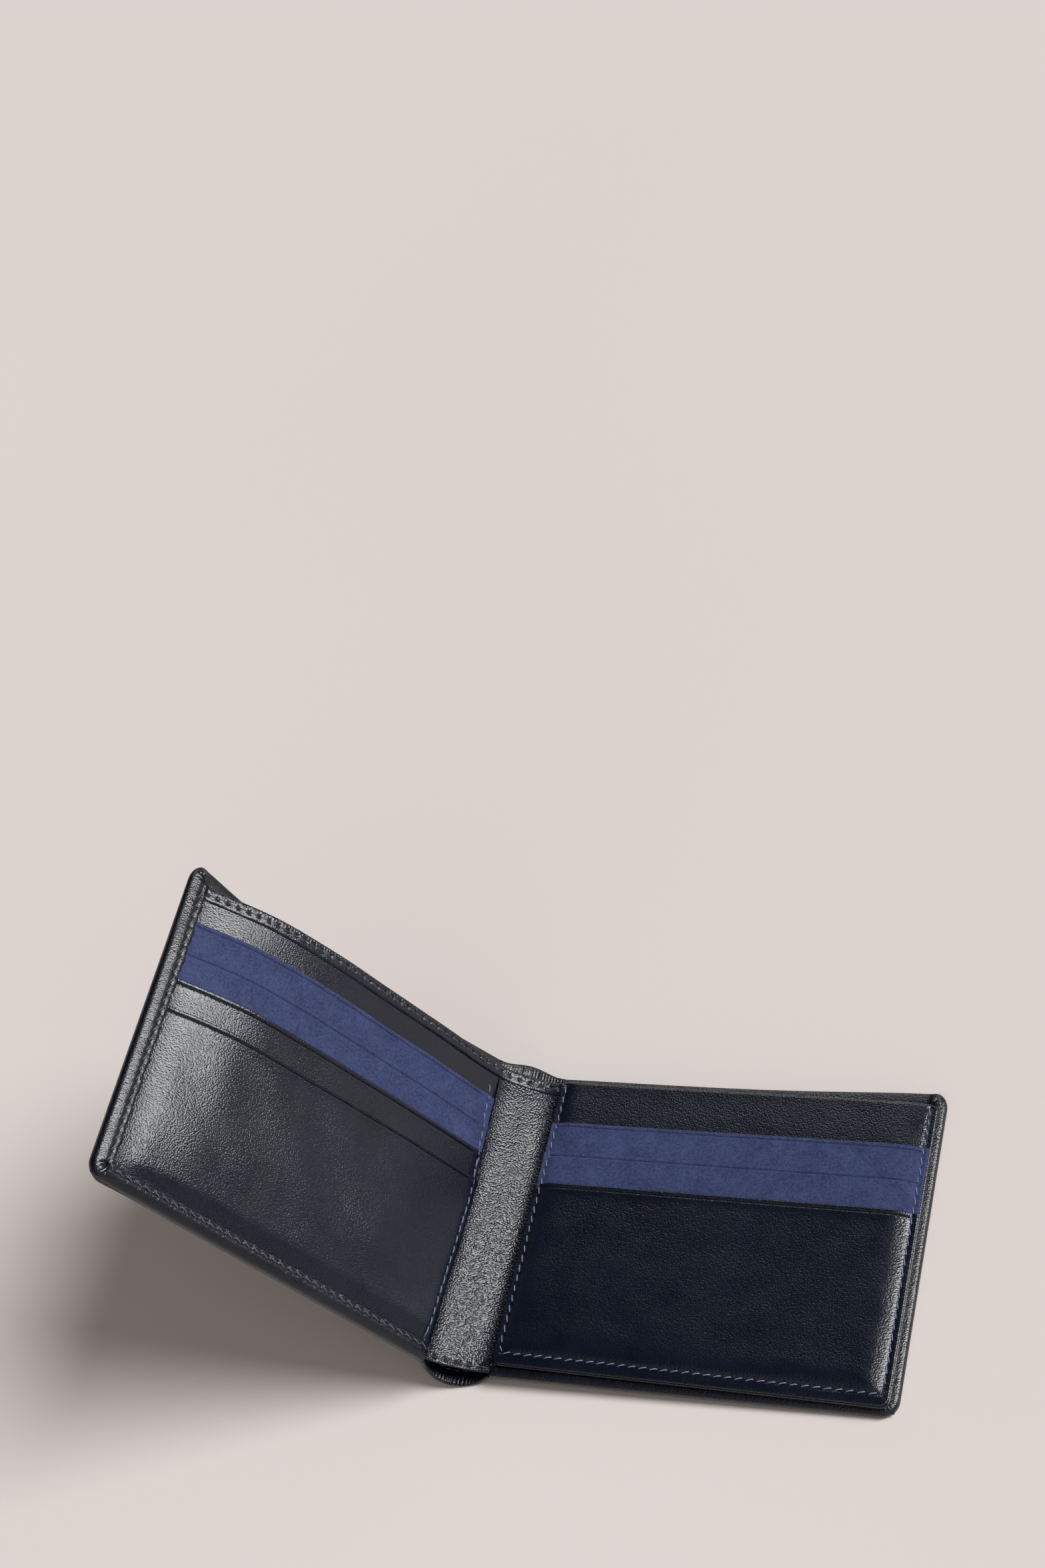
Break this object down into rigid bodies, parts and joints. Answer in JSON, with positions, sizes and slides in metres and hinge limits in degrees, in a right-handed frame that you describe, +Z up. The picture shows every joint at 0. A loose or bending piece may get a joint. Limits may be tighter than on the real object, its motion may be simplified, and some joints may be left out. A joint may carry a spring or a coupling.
{
  "type": "folding wallet",
  "caption": "Part-open leather billfold wallet with two covers, a soft spine, card pockets, a note compartment and a flip leaf.",
  "frame": {"origin": "middle of the footprint of the part-open wallet, on the surface that it stands on", "axes": "+X from the standing left cover to the lying right cover's outer edge, +Y along the fold towards the open top of the note compartment, +Z up"},
  "size_m": [0.1812, 0.09, 0.1131],
  "materials": {
    "outer_leather": "smooth, satin, fine grain",
    "inner_leather": "smooth, satin, fine grain",
    "binding_leather": "smooth, satin",
    "blue_nubuck": "matte, brushed nap",
    "lining": "matte, fine twill",
    "board": "matte, pressed fibre",
    "thread": "twisted polyester, slight sheen"
  },
  "bodies": {
    "right_cover": {"right_binding_thread": "thread", "right_border_thread": "thread", "right_hem_thread": "thread", "right_inner_panel": "inner_leather", "right_note_lining": "lining", "right_outer_leather": "outer_leather", "right_stiffener": "board", "right_top_binding": "binding_leather"},
    "spine": {"spine_binding_thread": "thread", "spine_hem_thread": "thread", "spine_inner_strip": "inner_leather", "spine_note_lining": "lining", "spine_outer_leather": "outer_leather", "spine_strip_thread": "thread", "spine_top_binding": "binding_leather"},
    "left_cover": {"left_binding_thread": "thread", "left_border_thread": "thread", "left_hem_thread": "thread", "left_inner_panel": "inner_leather", "left_note_lining": "lining", "left_outer_leather": "outer_leather", "left_pocket_1": "blue_nubuck", "left_pocket_2": "blue_nubuck", "left_pocket_3": "inner_leather", "left_pocket_4": "inner_leather", "left_pocket_lining": "lining", "left_pocket_thread": "thread", "left_stiffener": "board", "left_top_binding": "binding_leather"},
    "flap": {"flap_front_pocket": "inner_leather", "flap_hinge_strip": "inner_leather", "flap_lining": "lining", "flap_pocket_1": "blue_nubuck", "flap_pocket_2": "blue_nubuck", "flap_seam_thread": "thread", "flap_stiffener": "board", "flap_wrap_leather": "inner_leather"}
  },
  "joints": [
    {"name": "spine_fold", "type": "hinge", "parent": "right_cover", "child": "spine", "pos_m": [-0.02141, 0, 0.00526], "axis": [0, -1, 0], "range_deg": [-60, 30], "deforming": ["spine_binding_thread", "spine_hem_thread", "spine_inner_strip", "spine_note_lining", "spine_outer_leather", "spine_strip_thread", "spine_top_binding"]},
    {"name": "cover_fold", "type": "hinge", "parent": "spine", "child": "left_cover", "pos_m": [-0.03587, 0, 0.01418], "axis": [0, -1, 0], "range_deg": [-60, 30]},
    {"name": "flap_turn", "type": "hinge", "parent": "right_cover", "child": "flap", "pos_m": [-0.02075, 0, 0.00714], "axis": [0, -1, 0], "range_deg": [0, 115], "deforming": ["flap_hinge_strip"]}
  ],
  "couplings": [
    {"joint": "cover_fold", "follows": "spine_fold", "ratio": 1}
  ]
}
